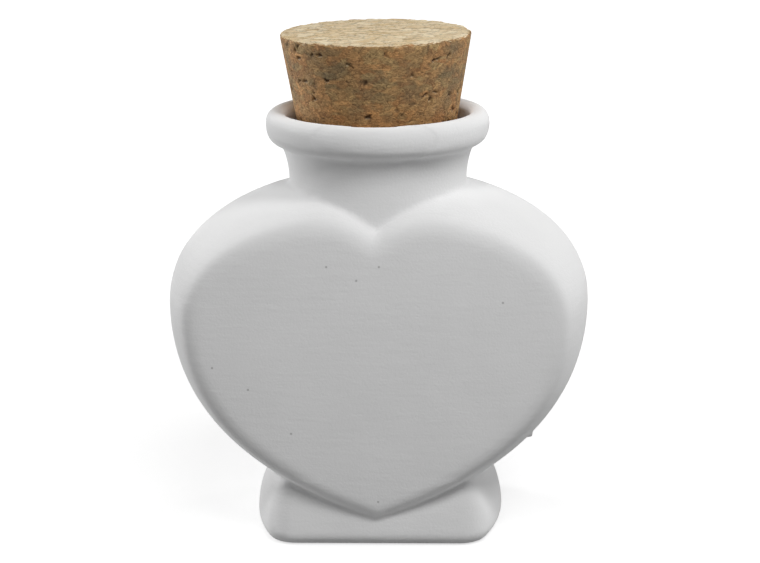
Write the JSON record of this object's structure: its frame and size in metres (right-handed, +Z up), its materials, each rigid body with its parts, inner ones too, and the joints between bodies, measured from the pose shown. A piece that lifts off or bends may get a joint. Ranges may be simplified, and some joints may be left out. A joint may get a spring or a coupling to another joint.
{
  "type": "heart-shaped jar with cork stopper",
  "caption": "Small unglazed ceramic jar with a flat-faced heart-shaped belly on a flared foot, a short neck with a rolled rim, and a tapered cork stopper that lifts out.",
  "frame": {"origin": "centre of the footprint, on the surface the jar stands on", "axes": "+Z up along the neck's axis, -Y towards the front of the heart, +X towards the heart's right side as seen from the front"},
  "size_m": [0.0992, 0.0524, 0.1176],
  "materials": {
    "bisque_earthenware": "matt, unglazed",
    "agglomerated_cork": "raw, granular"
  },
  "bodies": {
    "jar": {"jar_body": "bisque_earthenware"},
    "stopper": {"cork_stopper": "agglomerated_cork"}
  },
  "joints": [
    {"name": "stopper_lift", "type": "slide", "parent": "jar", "child": "stopper", "axis": [-0.0087, 0, 1], "range_m": [0, 0.04]}
  ]
}
